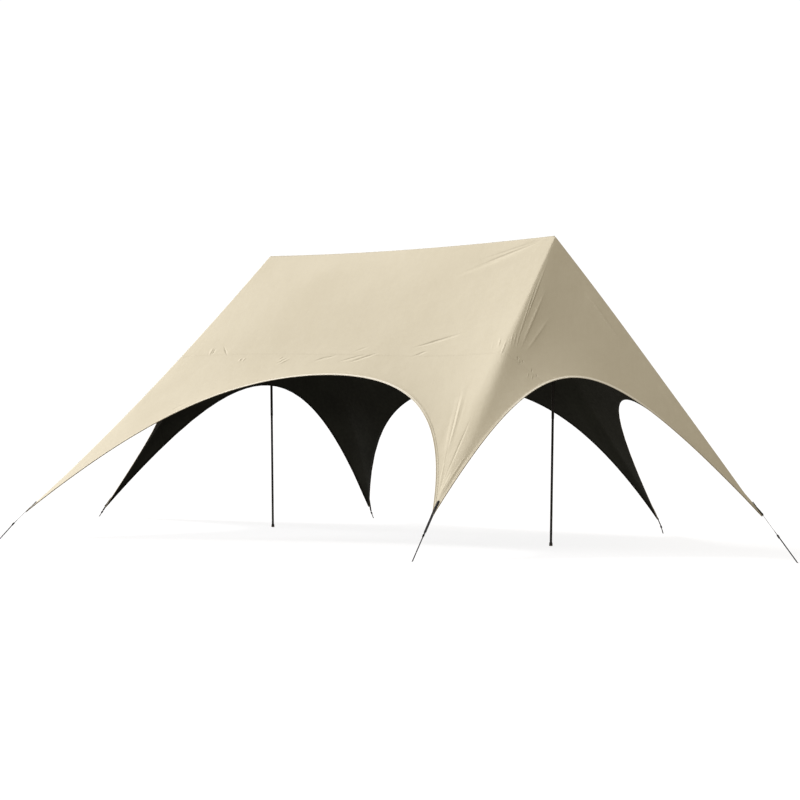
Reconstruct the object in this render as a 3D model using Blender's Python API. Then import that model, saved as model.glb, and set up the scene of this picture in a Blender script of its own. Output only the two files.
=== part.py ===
"""Twin-peak canopy tent in metres: two poles under a six-legged fabric roof that is roped down to the ground.

The ridge runs along X and the long open front faces -Y. The ground is z = 0, and the origin is the middle of
the whole ground plan, which isn't quite below the middle of the ridge, because the front left leg stands out.
The roof is six tensioned faces. Each is cut at a level seam into an upper and a lower panel, and its free
edge is an arch bound with a hem. Corners and faces are listed anticlockwise, as seen from above."""
import bpy
import bmesh
import numpy as np
from mathutils import Matrix, Vector

# Poles
PEAK_HEIGHT = 2.80
HALF_RIDGE = 1.783
RIDGE_MIDDLE = (0.0826, 0.4355)
RIDGE_SAG = 0.033
FOOT_SHIFT = {"left": (0.029, 0.011), "right": (-0.039, -0.015)}
UPPER_TUBE_RADIUS = 0.0125
LOWER_TUBE_RADIUS = 0.0110
TUBE_WALL = 0.0012
TUBE_OVERLAP = 0.15
TUBE_JOINT_HEIGHT = 1.15
FOOT_RADIUS = 0.0155
FOOT_HEIGHT = 0.035
FOOT_RIM_SHARE = 0.6
FOOT_TOP_SHARE = 0.75
POLE_PLUG_DEPTH = 0.085
POLE_PLUG_HEIGHT = 0.014
POLE_SPIKE_RADIUS = 0.003
POLE_SPIKE_POINT = 0.014
PLUG_RIM_SHARE = 0.6
SPIKE_TIP_SHARE = 0.3
POLE_DROP = {"left": 0.0088, "right": 0.012}

# Where each leg's rope meets the ground, from below the ridge's middle, and how far down the fabric reaches
ANCHORS = {
    "front_left": (-2.695, -2.73),
    "front_right": (1.715, -1.955),
    "right_end": (4.195, -0.055),
    "back_right": (1.785, 1.86),
    "back_left": (-1.804, 1.666),
    "left_end": (-4.36, -0.09),
}
FABRIC_REACH = {
    "front_left": 0.913,
    "front_right": 0.871,
    "right_end": 0.871,
    "back_right": 0.951,
    "back_left": 0.955,
    "left_end": 0.962,
}
# How far the middle of each leg's crease stands off the straight line from peak to tip. A skew above zero
# puts the most of it nearer the peak, and one below zero nearer the tip.
LEG_BOW = {
    "front_left": (0.041, 0.015, -0.032),
    "front_right": (-0.020, 0.003, -0.005),
    "right_end": (0.0, 0.0, 0.028),
    "back_right": (-0.287, -0.067, -0.022),
    "back_left": (0.174, 0.024, 0.006),
    "left_end": (0.0, 0.0, 0.025),
}
LEG_SKEW = {"back_right": 0.85, "back_left": -0.55}

# Free edges. Each arch lies in or near the flat plane of its face. Its rise is the share of the way from
# the line between its two tips to the peak or ridge, and its shift is along that line, as a share of it.
# Its shape is how square the shoulders of a long arch are, and how round the top of a short one is.
# Its bulge is out of the plane.
ARCHES = {
    "front": (0.492, 0.020, 0.45, 0.027),
    "right_front": (0.464, -0.010, 0.65, 0.049),
    "right_back": (0.450, -0.004, 1.40, -0.159),
    "back": (0.496, -0.025, 0.48, -0.007),
    "left_back": (0.498, -0.044, 0.80, 0.045),
    "left_front": (0.408, -0.010, 0.45, -0.090),
}
FACES = {
    "front": ("front_left", "front_right"),
    "right_front": ("front_right", "right_end"),
    "right_back": ("right_end", "back_right"),
    "back": ("back_right", "back_left"),
    "left_back": ("back_left", "left_end"),
    "left_front": ("left_end", "front_left"),
}
OPPOSITE = {"front": "back", "back": "front"}

# Fabric
FABRIC_THICKNESS = 0.004
PEAK_OFFSET = 0.0065
MITRE_FADE = 3.0
SEAM_HEIGHT = 1.74
SEAM_HALVINGS = 30
HEM_WIDTH = 0.045
HEM_HIGHEST_START = 0.90
# How deep a face dips below flat. The second value makes the deepest place, two thirds down, count as one.
FACE_DIP = 0.035
DIP_SCALE = 6.75
UPPER_ROWS = 4
LOWER_ROWS = 5
HEM_ROWS = 1
COLUMNS = 16
# The share of even spacing in the columns, which are otherwise closer together towards both legs
EVEN_SPACING = 0.35
# The small step that slopes are measured over, and how near the peak they are measured
SLOPE_STEP = 0.01
NEAREST_PEAK = 0.03

# Straps and ropes
STRAP_WIDTH = 0.030
STRAP_THICKNESS = 0.005
STRAP_ON_FABRIC = 0.15
STRAP_SHARE = 0.40
STRAP_CORNER_SHARE = 0.4
STRAP_FACING_PLACE = 0.97
CREST_REACH = 0.2
CREST_SAMPLES = 13
ROPE_RADIUS = 0.0055
ROPE_SIDES = 12

GAP = 0.0003
PEAK_SETBACK = 0.003

BEIGE = (0.71, 0.64, 0.50)
HEM_BEIGE = (0.62, 0.57, 0.46)
STRAP_BLACK = (0.015, 0.015, 0.016)
ROPE_BLACK = (0.035, 0.035, 0.036)
POLE_BLACK = (0.020, 0.020, 0.022)


def clear_scene():
    for old in list(bpy.data.objects):
        bpy.data.objects.remove(old, do_unlink=True)


def material(name, colour, roughness, metallic=0.0):
    found = bpy.data.materials.get(name)
    if found:
        return found
    made = bpy.data.materials.new(name)
    made.use_nodes = True
    shader = made.node_tree.nodes["Principled BSDF"]
    shader.inputs["Base Color"].default_value = (*colour, 1.0)
    shader.inputs["Roughness"].default_value = roughness
    shader.inputs["Metallic"].default_value = metallic
    made.diffuse_color = (*colour, 1.0)
    return made


def unit(vector):
    return vector / np.linalg.norm(vector)


def peak_of(corner):
    side = -1.0 if ANCHORS[corner][0] < 0.0 else 1.0
    return np.array([RIDGE_MIDDLE[0] + side * HALF_RIDGE, RIDGE_MIDDLE[1], PEAK_HEIGHT])


def anchor_of(corner):
    return np.array([RIDGE_MIDDLE[0] + ANCHORS[corner][0], RIDGE_MIDDLE[1] + ANCHORS[corner][1], 0.0])


def tip_of(corner):
    """Where the fabric of a leg ends, on the straight line from its peak to its anchor."""
    return peak_of(corner) + FABRIC_REACH[corner] * (anchor_of(corner) - peak_of(corner))


def leg_point(corner, share):
    """A point on the crease of a leg, from its peak at 0 to its tip at 1."""
    skew = LEG_SKEW.get(corner, 0.0)
    bowed = 4.0 * share * (1.0 - share) * (1.0 + skew * (1.0 - 2.0 * share))
    return peak_of(corner) + share * (tip_of(corner) - peak_of(corner)) + bowed * np.array(LEG_BOW[corner])


def plane_normal(face):
    """The outward normal of the flat plane through a face's two tips and its peak or ridge."""
    first, second = FACES[face]
    tips = tip_of(first), tip_of(second)
    top = (peak_of(first) + peak_of(second)) / 2.0
    return unit(np.cross((tips[0] + tips[1]) / 2.0 - top, tips[1] - tips[0]))


def arch_lift(face, across):
    """How far up its rise the arch is, from 0 at the tips to 1 at its middle."""
    offset = 2.0 * across - 1.0
    shape = ARCHES[face][2]
    if face in ("front", "back"):
        return 1.0 - (1.0 - shape) * offset ** 2 - shape * offset ** 4
    widest = np.sqrt(1.0 + shape ** 2)
    return (widest - np.sqrt(offset ** 2 + shape ** 2)) / (widest - shape)


def arch_summit(face):
    """The step from the middle of the line between the tips to the arch's highest point."""
    rise, shift, _, bulge = ARCHES[face]
    first, second = FACES[face]
    start, end = tip_of(first), tip_of(second)
    top = (peak_of(first) + peak_of(second)) / 2.0
    return rise * (top - (start + end) / 2.0) + shift * (end - start) + bulge * plane_normal(face)


def arch_point(face, across):
    """A point on a face's free edge, from its first leg's tip at 0 to its second's at 1."""
    start, end = (tip_of(corner) for corner in FACES[face])
    return start + across * (end - start) + arch_lift(face, across) * arch_summit(face)


def width_share(face, across):
    """How far across its face the straight line of cloth down to an arch point lies."""
    first, second = FACES[face]
    start, end = tip_of(first), tip_of(second)
    chord = np.linalg.norm(end - start)
    level = unit(end - start)
    climbed = arch_lift(face, across) * ARCHES[face][0]
    spread = (1.0 - climbed) * chord + climbed * float((peak_of(second) - peak_of(first)) @ level)
    along = across * chord + arch_lift(face, across) * float(arch_summit(face) @ level)
    return (along - climbed * float((peak_of(first) - start) @ level)) / spread


def ridge_point(first, second, share):
    """A point on the sagging ridge, or the peak itself where both legs share it."""
    length = np.linalg.norm(second - first)
    sag = 4.0 * share * (1.0 - share) * RIDGE_SAG if length > 0.0 else 0.0
    return first + share * (second - first) - np.array([0.0, 0.0, sag])


def face_point(face, across, down):
    """A point of a roof face, on the line of cloth that runs from the ridge to one place on the arch."""
    first, second = FACES[face]
    start, end = peak_of(first), peak_of(second)
    share = width_share(face, across)
    reach = leg_reach(face, across)
    top = ridge_point(start, end, share) - (1.0 - share) * start - share * end
    edge = arch_point(face, across) - between_legs(face, share, reach)
    dip = FACE_DIP * 4.0 * share * (1.0 - share) * DIP_SCALE * down ** 2 * (1.0 - down)
    line = between_legs(face, share, down * reach)
    return line + (1.0 - down) * top + down * edge - dip * plane_normal(face)


def leg_reach(face, across):
    """How far down the two legs lies the level line that passes through an arch point."""
    return 1.0 - arch_lift(face, across) * ARCHES[face][0]


def between_legs(face, share, down):
    """A point on the straight line between a face's two legs, at the same share down each of them."""
    first, second = FACES[face]
    return (1.0 - share) * leg_point(first, down) + share * leg_point(second, down)


def face_normal(face, across, down):
    """The outward normal of a roof face, from small steps either way."""
    across = min(max(across, SLOPE_STEP), 1.0 - SLOPE_STEP)
    down = min(max(down, NEAREST_PEAK), 1.0 - SLOPE_STEP)
    along = face_point(face, across + SLOPE_STEP, down) - face_point(face, across - SLOPE_STEP, down)
    fall = face_point(face, across, down + SLOPE_STEP) - face_point(face, across, down - SLOPE_STEP)
    return unit(np.cross(fall, along))


def neighbour_at(face, across):
    """The face that shares the crease at this side of a face, and its own place across there."""
    names = list(FACES)
    here = names.index(face)
    if across == 0.0:
        return names[here - 1], 1.0
    return names[(here + 1) % len(names)], 0.0


def inner_offset(face, across, down):
    """The step from the outer to the inner surface, mitred where two faces meet at a crease."""
    if down == 0.0 and (face not in ("front", "back") or across in (0.0, 1.0)):
        return np.array([0.0, 0.0, -PEAK_OFFSET])
    if down == 0.0:
        return mitre(face_normal(face, across, 0.0), face_normal(OPPOSITE[face], 1.0 - across, 0.0))
    offset = -FABRIC_THICKNESS * face_normal(face, across, down)
    here = face_point(face, across, down)
    level = down * leg_reach(face, across)
    for side, corner in zip((0.0, 1.0), FACES[face]):
        own = face_normal(face, side, level)
        other = face_normal(neighbour_at(face, side)[0], neighbour_at(face, side)[1], level)
        aside = mitre(own, other) + FABRIC_THICKNESS * own
        away = np.linalg.norm(here - leg_point(corner, level))
        fade = max(0.0, 1.0 - away / (MITRE_FADE * np.linalg.norm(aside) + GAP))
        offset = offset + fade * aside
    return offset


def mitre(normal_a, normal_b):
    """The step to where the inner surfaces of two faces meet."""
    return -FABRIC_THICKNESS * (normal_a + normal_b) / (1.0 + float(normal_a @ normal_b))


def seam_share(face, across):
    """How far down the face the level seam lies."""
    low, high = 0.0, 1.0 - SLOPE_STEP / 2.0
    for _ in range(SEAM_HALVINGS):
        middle = (low + high) / 2.0
        if face_point(face, across, middle)[2] > SEAM_HEIGHT:
            low = middle
        else:
            high = middle
    return low


def hem_share(face, across):
    """How far down the face the hem starts, so that it stays about as wide all along the arch."""
    if across in (0.0, 1.0):
        both = ((face, across), neighbour_at(face, across))
        return float(np.mean([hem_start(name, place) for name, place in both]))
    return hem_start(face, across)


def hem_start(face, across):
    """One face's own start of the hem, held near the arch where the leg is only a narrow flap."""
    across = min(max(across, SLOPE_STEP), 1.0 - SLOPE_STEP)
    fall = face_point(face, across, 1.0) - face_point(face, across, 1.0 - SLOPE_STEP)
    along = arch_point(face, across + SLOPE_STEP) - arch_point(face, across - SLOPE_STEP)
    slant = np.linalg.norm(np.cross(fall, unit(along))) / SLOPE_STEP
    return max(1.0 - HEM_WIDTH / slant, HEM_HIGHEST_START)


def columns_across():
    """Places across a face, closer together towards both legs."""
    even = np.linspace(0.0, 1.0, COLUMNS + 1)
    eased = 0.5 - 0.5 * np.cos(np.pi * even)
    return [float(place) for place in EVEN_SPACING * even + (1.0 - EVEN_SPACING) * eased]


def sheet_rows(face, across, part):
    """The places down the face of the rows of one of its three parts."""
    seam = seam_share(face, across)
    hem = hem_share(face, across)
    start, end, rows = {"upper": (0.0, seam, UPPER_ROWS), "lower": (seam, hem, LOWER_ROWS),
                        "hem": (hem, 1.0, HEM_ROWS)}[part]
    return [float(place) for place in np.linspace(start, end, rows + 1)]


def shrink_border(points, part, face):
    """Step the sides that meet a neighbour back by a gap, and leave a free edge where it is."""
    rows, columns = points.shape[:2]
    moved = points.copy()
    for row in range(rows):
        if part == "upper" and row == 0 and face not in ("front", "back"):
            continue
        for column, inner in ((0, 1), (columns - 1, columns - 2)):
            before = points[max(row - 1, 0), column]
            after = points[min(row + 1, rows - 1), column]
            moved[row, column] += GAP * square_step(points[row, inner] - points[row, column], after - before)
    sides = [(0, 1)] if part == "hem" else [(0, 1), (rows - 1, rows - 2)]
    for row, inner in sides:
        if part == "upper" and row == 0 and face not in ("front", "back"):
            continue
        for column in range(columns):
            before = points[row, max(column - 1, 0)]
            after = points[row, min(column + 1, columns - 1)]
            step = square_step(points[inner, column] - points[row, column], after - before)
            moved[row, column] += GAP * step
    return moved


def square_step(inward, along):
    """The unit step that leads inward, square to the border's own direction."""
    along = unit(along)
    return unit(inward - (inward @ along) * along)


def sheet_solid(name, face, part, look):
    """One closed sheet: outer and inner skins joined all round, with a fan where it runs to a peak."""
    places = columns_across()
    grid = [[(across, down) for down in sheet_rows(face, across, part)] for across in places]
    rows = len(grid[0])
    outer = np.array([[face_point(face, *grid[column][row]) for column in range(len(places))]
                      for row in range(rows)])
    offset = np.array([[inner_offset(face, *grid[column][row]) for column in range(len(places))]
                       for row in range(rows)])
    outer = shrink_border(outer, part, face)
    pointed = part == "upper" and face not in ("front", "back")
    if pointed:
        towards = outer[1, len(places) // 2] - outer[0, 0]
        outer[0, :] = outer[0, 0] + PEAK_SETBACK * unit(towards)
    inner = outer + offset
    shell = bmesh.new()
    skins = []
    for skin in (outer, inner):
        lines = []
        for row in range(rows):
            if pointed and row == 0:
                lines.append([shell.verts.new(skin[0, 0])] * len(places))
            else:
                lines.append([shell.verts.new(point) for point in skin[row]])
        skins.append(lines)
    for lines, flip in ((skins[0], False), (skins[1], True)):
        for row in range(rows - 1):
            for column in range(len(places) - 1):
                corners = [lines[row][column], lines[row + 1][column],
                           lines[row + 1][column + 1], lines[row][column + 1]]
                corners = list(dict.fromkeys(corners))
                shell.faces.new(corners[::-1] if flip else corners)
    loop = [(row, 0) for row in range(rows)]
    loop += [(rows - 1, column) for column in range(1, len(places))]
    loop += [(row, len(places) - 1) for row in range(rows - 2, -1, -1)]
    if not pointed:
        loop += [(0, column) for column in range(len(places) - 2, 0, -1)]
    else:
        loop = loop[:-1]
    for (row_a, column_a), (row_b, column_b) in zip(loop, loop[1:] + loop[:1]):
        outer_a, outer_b = skins[0][row_a][column_a], skins[0][row_b][column_b]
        inner_a, inner_b = skins[1][row_a][column_a], skins[1][row_b][column_b]
        # Both sides of a joint split their wall along the same diagonal, so that the walls stay parallel.
        if row_a + column_a < row_b + column_b:
            shell.faces.new([outer_b, outer_a, inner_b])
            shell.faces.new([outer_a, inner_a, inner_b])
        else:
            shell.faces.new([outer_b, outer_a, inner_a])
            shell.faces.new([outer_b, inner_a, inner_b])
    bmesh.ops.triangulate(shell, faces=shell.faces[:])
    return finish(name, shell, look)


def finish(name, shell, look, matrix=None, smooth=True):
    mesh = bpy.data.meshes.new(name)
    shell.to_mesh(mesh)
    shell.free()
    if smooth:
        mesh.shade_smooth()
        mesh.set_sharp_from_angle(angle=np.radians(35.0))
    made = bpy.data.objects.new(name, mesh)
    mesh.materials.append(look)
    bpy.context.scene.collection.objects.link(made)
    if matrix is not None:
        made.matrix_world = matrix
    return made


def frame_along(origin, direction, upward):
    """A placement whose Z runs along a direction and whose X leans towards upward."""
    z_axis = Vector(direction).normalized()
    x_axis = Vector(upward) - Vector(upward).dot(z_axis) * z_axis
    x_axis.normalize()
    y_axis = z_axis.cross(x_axis)
    turn = Matrix((x_axis, y_axis, z_axis)).transposed().to_4x4()
    return Matrix.Translation(Vector(origin)) @ turn


def turned(name, profile, look, matrix, segments=24):
    """A solid turned about Z from a closed outline of (radius, height) pairs."""
    shell = bmesh.new()
    line = [shell.verts.new((radius, 0.0, height)) for radius, height in profile]
    closed = profile[0][0] > 0.0
    edges = [shell.edges.new(pair) for pair in zip(line, line[1:])]
    if closed:
        edges.append(shell.edges.new((line[-1], line[0])))
    bmesh.ops.spin(shell, geom=line + edges, cent=(0.0, 0.0, 0.0), axis=(0.0, 0.0, 1.0),
                   angle=2.0 * np.pi, steps=segments, use_merge=True, use_duplicate=False)
    bmesh.ops.remove_doubles(shell, verts=shell.verts[:], dist=1e-6)
    bmesh.ops.recalc_face_normals(shell, faces=shell.faces[:])
    return finish(name, shell, look, matrix)


def build_roof():
    for face in FACES:
        for part in ("upper", "lower"):
            beige = material(f"{part}_fabric", BEIGE, 0.85)
            sheet_solid(f"panel_{face}_{part}", face, part, beige)
        sheet_solid(f"hem_{face}", face, "hem", material("hem_tape", HEM_BEIGE, 0.8))


def build_poles():
    black = material("pole_paint", POLE_BLACK, 0.35, 0.3)
    rubber = material("pole_rubber", STRAP_BLACK, 0.8)
    for side, sign in (("left", -1.0), ("right", 1.0)):
        peak = Vector((RIDGE_MIDDLE[0] + sign * HALF_RIDGE, RIDGE_MIDDLE[1], PEAK_HEIGHT))
        foot = Vector((peak.x + FOOT_SHIFT[side][0], peak.y + FOOT_SHIFT[side][1], 0.0))
        top = peak - Vector((0.0, 0.0, POLE_DROP[side]))
        upright = Matrix.Translation(foot)
        leaning = frame_along(foot, top - foot, (1.0, 0.0, 0.0))
        length = (top - foot).length
        turned(f"pole_{side}_foot",
               [(0.0, 0.0), (FOOT_RADIUS, 0.0), (FOOT_RADIUS, FOOT_RIM_SHARE * FOOT_HEIGHT),
                (FOOT_TOP_SHARE * FOOT_RADIUS, FOOT_HEIGHT), (0.0, FOOT_HEIGHT)], rubber, upright)
        lower_start = FOOT_HEIGHT + 2.0 * GAP
        lower_end = TUBE_JOINT_HEIGHT + TUBE_OVERLAP
        lower_bore = LOWER_TUBE_RADIUS - TUBE_WALL
        turned(f"pole_{side}_lower_tube",
               [(lower_bore, lower_start), (LOWER_TUBE_RADIUS, lower_start),
                (LOWER_TUBE_RADIUS, lower_end), (lower_bore, lower_end)], black, leaning)
        upper_end = length - POLE_PLUG_DEPTH
        upper_bore = LOWER_TUBE_RADIUS + GAP
        turned(f"pole_{side}_upper_tube",
               [(upper_bore, TUBE_JOINT_HEIGHT), (UPPER_TUBE_RADIUS, TUBE_JOINT_HEIGHT),
                (UPPER_TUBE_RADIUS, upper_end), (upper_bore, upper_end)], black, leaning)
        cap_start = upper_end + GAP
        turned(f"pole_{side}_cap",
               [(0.0, cap_start), (UPPER_TUBE_RADIUS, cap_start),
                (UPPER_TUBE_RADIUS, cap_start + PLUG_RIM_SHARE * POLE_PLUG_HEIGHT),
                (POLE_SPIKE_RADIUS, cap_start + POLE_PLUG_HEIGHT),
                (POLE_SPIKE_RADIUS, length - POLE_SPIKE_POINT),
                (SPIKE_TIP_SHARE * POLE_SPIKE_RADIUS, length), (0.0, length)],
               rubber, leaning)


def crest_over(start, end, outward, sides):
    """How far the cloth under a strap stands up from its line, so that the strap lies on top of it."""
    along = (end - start).normalized()
    square = (outward - outward.dot(along) * along).normalized()
    beside = along.cross(square)
    heights = [0.0]
    for face, place in sides:
        for inward in np.linspace(0.0, CREST_REACH, CREST_SAMPLES):
            for down in np.linspace(1.0 - CREST_REACH, 1.0, 2 * CREST_SAMPLES):
                point = Vector(face_point(face, abs(place - inward), down)) - start
                if abs(point.dot(beside)) <= STRAP_WIDTH and 0.0 <= point.dot(along):
                    heights.append(point.dot(square))
    return max(heights)


def build_corner(corner):
    """The strap sewn over a leg's tip, and the taut rope that ties it down to the ground."""
    tip = Vector(tip_of(corner))
    anchor = Vector(anchor_of(corner))
    leg_length = (Vector(peak_of(corner)) - tip).length
    start = Vector(leg_point(corner, 1.0 - STRAP_ON_FABRIC / leg_length))
    faces = [name for name, ends in FACES.items() if corner in ends]
    places = [0.0 if FACES[name][0] == corner else 1.0 for name in faces]
    facing = sum(face_normal(name, place, STRAP_FACING_PLACE) for name, place in zip(faces, places))
    outward = Vector(unit(facing))
    strap_end = tip.lerp(anchor, STRAP_SHARE)
    crest = crest_over(start, strap_end, outward, zip(faces, places))
    lift = outward * (crest + STRAP_THICKNESS / 2.0 + GAP)
    start = start + lift
    strap_end = strap_end + lift
    along = strap_end - start
    strap = bmesh.new()
    bmesh.ops.create_cube(strap, size=1.0)
    bmesh.ops.scale(strap, verts=strap.verts[:], vec=(STRAP_THICKNESS, STRAP_WIDTH, along.length))
    bmesh.ops.translate(strap, verts=strap.verts[:], vec=(0.0, 0.0, along.length / 2.0))
    corners = [edge for edge in strap.edges
               if abs(edge.verts[0].co.x - edge.verts[1].co.x) > STRAP_THICKNESS / 2.0]
    bmesh.ops.bevel(strap, geom=corners, offset=STRAP_CORNER_SHARE * STRAP_WIDTH, segments=3,
                    affect="EDGES", profile=0.5)
    finish(f"strap_{corner}", strap, material("strap_webbing", STRAP_BLACK, 0.75),
           frame_along(start, along, outward))
    down = (anchor - strap_end).normalized()
    clear = GAP + ROPE_RADIUS * down.cross(along.normalized()).length
    build_rope(corner, strap_end + clear * down, anchor)


def build_rope(corner, top, anchor):
    """A round rope, cut level where it meets the ground."""
    axis = anchor - top
    placed = frame_along(top, axis, (0.0, 0.0, 1.0))
    rope = bmesh.new()
    bmesh.ops.create_cone(rope, cap_ends=True, segments=ROPE_SIDES, radius1=ROPE_RADIUS, radius2=ROPE_RADIUS,
                          depth=axis.length, matrix=Matrix.Translation((0.0, 0.0, axis.length / 2.0)))
    for vertex in rope.verts:
        if vertex.co.z > axis.length / 2.0:
            above_ground = (placed @ vertex.co).z
            vertex.co.z += above_ground / -axis.normalized().z
    finish(f"rope_{corner}", rope, material("guy_rope", ROPE_BLACK, 0.8), placed)


clear_scene()
build_roof()
build_poles()
for corner_name in ANCHORS:
    build_corner(corner_name)
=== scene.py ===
"""The looks of the twin-peak canopy tent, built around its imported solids.

The roof is one sheet of cloth with the photograph's arches, creases and folds. Its edges are bound, its legs
have webbing straps and laid ropes, and its poles keep their solids with a worn painted finish. Lengths are
in metres unless a name says otherwise."""
import bpy
import numpy as np
from numpy.linalg import norm
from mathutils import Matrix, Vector


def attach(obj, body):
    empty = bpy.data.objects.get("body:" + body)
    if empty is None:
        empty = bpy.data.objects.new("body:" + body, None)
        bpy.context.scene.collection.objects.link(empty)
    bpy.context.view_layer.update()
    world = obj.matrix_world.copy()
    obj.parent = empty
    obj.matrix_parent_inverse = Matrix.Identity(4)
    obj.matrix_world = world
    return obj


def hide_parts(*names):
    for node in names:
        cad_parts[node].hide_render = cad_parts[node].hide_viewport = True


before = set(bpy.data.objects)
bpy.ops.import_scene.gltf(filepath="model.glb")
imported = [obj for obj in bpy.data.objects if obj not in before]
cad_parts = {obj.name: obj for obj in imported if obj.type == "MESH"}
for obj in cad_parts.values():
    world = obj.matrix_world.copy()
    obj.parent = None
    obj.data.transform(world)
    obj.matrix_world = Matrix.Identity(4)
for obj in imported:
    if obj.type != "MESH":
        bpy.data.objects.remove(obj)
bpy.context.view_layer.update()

# The same driving sizes as the solids
PEAK_HEIGHT = 2.80
HALF_RIDGE = 1.783
RIDGE_MIDDLE = (0.0826, 0.4355)
RIDGE_SAG = 0.033
ANCHORS = {
    "front_left": (-2.695, -2.73), "front_right": (1.715, -1.955), "right_end": (4.195, -0.055),
    "back_right": (1.785, 1.86), "back_left": (-1.804, 1.666), "left_end": (-4.36, -0.09),
}
FABRIC_REACH = {
    "front_left": 0.913, "front_right": 0.871, "right_end": 0.871,
    "back_right": 0.951, "back_left": 0.955, "left_end": 0.962,
}
LEG_BOW = {
    "front_left": (0.041, 0.015, -0.032), "front_right": (-0.020, 0.003, -0.005),
    "right_end": (0.0, 0.0, 0.028), "back_right": (-0.287, -0.067, -0.022),
    "back_left": (0.174, 0.024, 0.006), "left_end": (0.0, 0.0, 0.025),
}
LEG_SKEW = {"back_right": 0.85, "back_left": -0.55}
# Each arch's rise, shift, shape and bulge
ARCHES = {
    "front": (0.492, 0.020, 0.45, 0.027), "right_front": (0.464, -0.010, 0.65, 0.049),
    "right_back": (0.450, -0.004, 1.40, -0.159), "back": (0.496, -0.025, 0.48, -0.007),
    "left_back": (0.498, -0.044, 0.80, 0.045), "left_front": (0.408, -0.010, 0.45, -0.090),
}
FACES = {
    "front": ("front_left", "front_right"), "right_front": ("front_right", "right_end"),
    "right_back": ("right_end", "back_right"), "back": ("back_right", "back_left"),
    "left_back": ("back_left", "left_end"), "left_front": ("left_end", "front_left"),
}
FACE_NAMES = list(FACES)
# How deep a face dips below flat, and what makes its deepest place count as one
FACE_DIP = 0.035
DIP_SCALE = 6.75
SEAM_HEIGHT = 1.74
# Where a short face's seam meets its arch
SEAM_ARCH_PLACE = 0.405

# Cloth. The faces that show best have the most columns.
CLOTH_THICK = 0.0010
ROWS = 96
COLUMNS = {"front": 200, "right_front": 130, "right_back": 30, "back": 50, "left_back": 30, "left_front": 40}
RIDGE_STEP = COLUMNS["front"] // COLUMNS["back"]
# Where a long and a short face's columns are closer together: middle, spread and weight
LONG_CLUSTERS = ((0.0, 0.04, 4.0), (0.24, 0.06, 2.0), (0.88, 0.12, 3.0), (1.0, 0.04, 4.0))
SHORT_CLUSTERS = ((0.0, 0.10, 5.0), (1.0, 0.06, 4.0))
# How far from each crease its fold is rounded off, near the peak and lower down
CREASE_ROUNDING = {
    "front_left": (0.010, 0.05), "front_right": (0.008, 0.105), "right_end": (0.008, 0.02),
    "back_right": (0.012, 0.05), "back_left": (0.012, 0.05), "left_end": (0.008, 0.02),
}
# Where down the leg this widens, and its limit in the narrow tip
ROUNDING_START = 0.15
ROUNDING_RUN = 0.5
TIP_END = 0.96
TIP_SHARE = 0.45
TIP_LEAST = 0.003

# How far apart faces lie in the cloth's map, and the rounds that bring a fold on to its face
MAP_STEP = 10.0
PLACING_ROUNDS = 8

# The photograph's camera, which also places the folds
CAMERA_AT = np.array([10.7426, -12.4555, 1.350])
YAW_DEGREES = -39.69
PITCH_DEGREES = -0.12
SENSOR_WIDTH = 0.036
FOCAL_LENGTH = 0.07778
PIXELS = 800.0

# The share of a broad fold that each end takes to rise, and the hollow beside its crest
FOLD_END_SHARE = 0.30
HOLLOW_DEPTH = 0.45
HOLLOW_PLACE = 1.9
HOLLOW_WIDTH = 1.2
# How far from the free edge folds start, and how far they fade in there and beside a crease
FOLD_EDGE_CLEAR = 0.02
FOLD_EDGE_FADE = 0.05
FOLD_CREASE_FADE = 0.02
MILLIMETRE = 0.001
# Broad folds: from x, y to x, y and half width in the photograph's pixels, and height in millimetres, which
# is below zero for a hollow. The left front fold is a guess. The back faces get all of them mirrored.
BROAD_FOLDS = {
    ("front", "from the right peak"): [
        (547, 239.5, 468, 270, 3.2, -2), (530, 250, 446, 283, 4, 2.5),
    ],
    ("front", "on the left leg"): [(130, 400, 190, 372, 6, 3)],
    ("front", "on the right leg"): [(466, 386, 444, 462, 3.2, 3)],
    ("right_front", "beside the left crease"): [
        (548, 286, 519, 352, 3, 2), (552.5, 313, 523, 356, 3.4, 1.5),
    ],
    ("right_front", "down the middle"): [(583, 289, 624, 345, 3.4, 1.8)],
    ("right_front", "on the right leg"): [(648, 371, 728, 472, 2.6, 2)],
    ("left_front", "beside the right crease"): [(258, 268, 180, 350, 3, 3)],
}
MIRRORED = {"back": "front", "right_back": "right_front", "left_back": "left_front"}

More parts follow.
